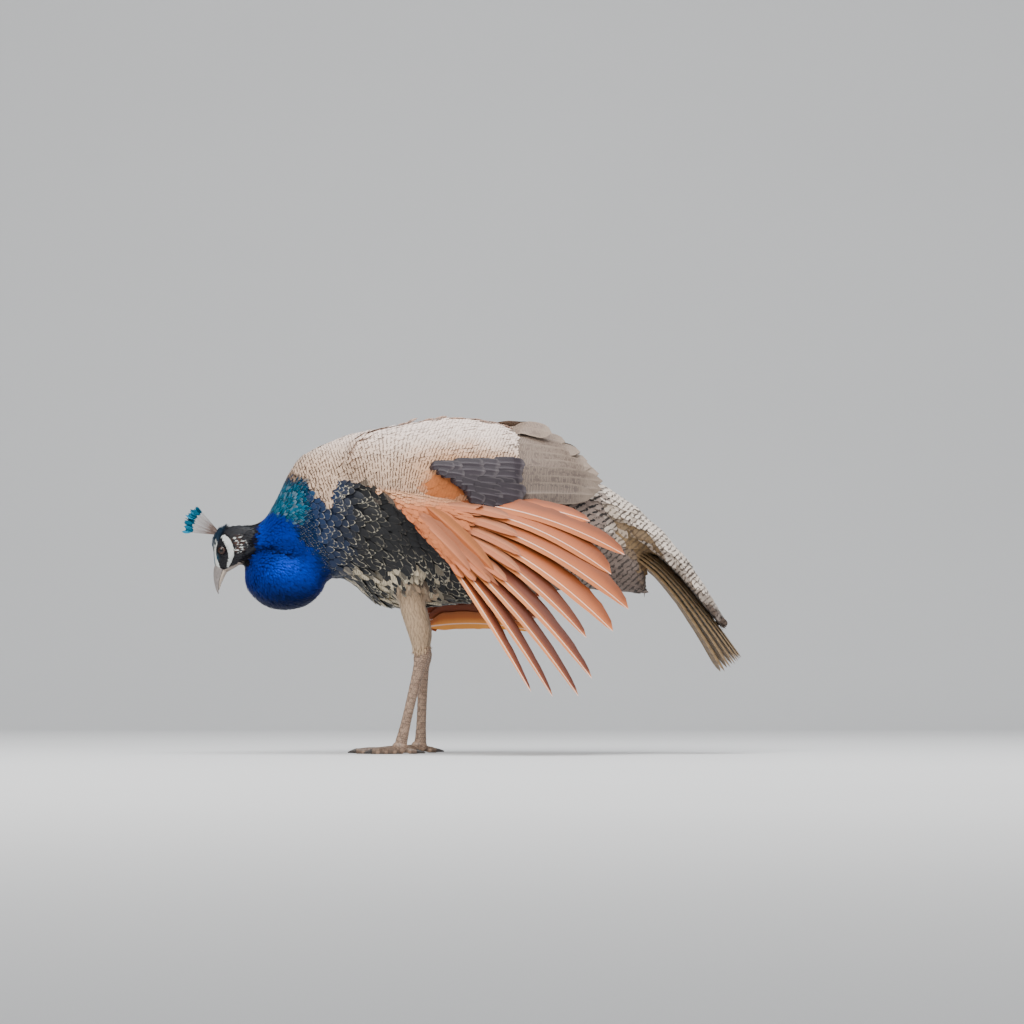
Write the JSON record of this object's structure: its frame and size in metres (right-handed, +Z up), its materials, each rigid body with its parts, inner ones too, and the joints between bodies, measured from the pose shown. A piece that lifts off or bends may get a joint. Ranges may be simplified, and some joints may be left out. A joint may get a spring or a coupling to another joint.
{
  "type": "peacock",
  "caption": "Standing young male peafowl, head drawn down, blue crop bulging, one wing drooped and fanned: a still life-size museum model",
  "frame": {"origin": "middle of the bounding box at floor level, under the feet's flats", "axes": "+Z up, the bill points to -X, the bird's left side is towards -Y"},
  "size_m": [0.7826, 0.4076, 0.4715],
  "materials": {
    "head_plumage": "satin",
    "neck_plumage": "satin",
    "breast_plumage": "satin",
    "body_plumage": "matte",
    "rump_plumage": "matte",
    "horn": "satin",
    "eye": "gloss",
    "crest_feathers": "satin",
    "barred_coverts": "matte",
    "grey_flight_feathers": "matte",
    "rust_feathers": "satin",
    "tail_plumage": "matte",
    "thigh_down": "matte",
    "leg_scales": "satin",
    "claw": "satin"
  },
  "bodies": {
    "root": {"head": "head_plumage", "neck_upper": "neck_plumage", "neck_lower": "neck_plumage", "breast": "breast_plumage", "trunk": "body_plumage", "rump": "rump_plumage", "bill_upper": "horn", "bill_lower": "horn", "eye_left": "eye", "eye_right": "eye", "crest": "crest_feathers", "wing_left_shoulder": "barred_coverts", "wing_right_shoulder": "barred_coverts", "wing_left_secondaries": "grey_flight_feathers", "wing_right_secondaries": "grey_flight_feathers", "wing_left_hand": "rust_feathers", "wing_left_primaries": "rust_feathers", "wing_right_hand": "rust_feathers", "wing_right_primaries": "rust_feathers", "tail_coverts": "tail_plumage", "tail_feathers": "tail_plumage", "thigh_left": "thigh_down", "thigh_right": "thigh_down", "shank_left": "leg_scales", "shank_right": "leg_scales", "foot_left": "leg_scales", "foot_right": "leg_scales", "claw_left_inner": "claw", "claw_left_middle": "claw", "claw_left_outer": "claw", "claw_left_hind": "claw", "claw_right_inner": "claw", "claw_right_middle": "claw", "claw_right_outer": "claw", "claw_right_hind": "claw"}
  },
  "joints": []
}
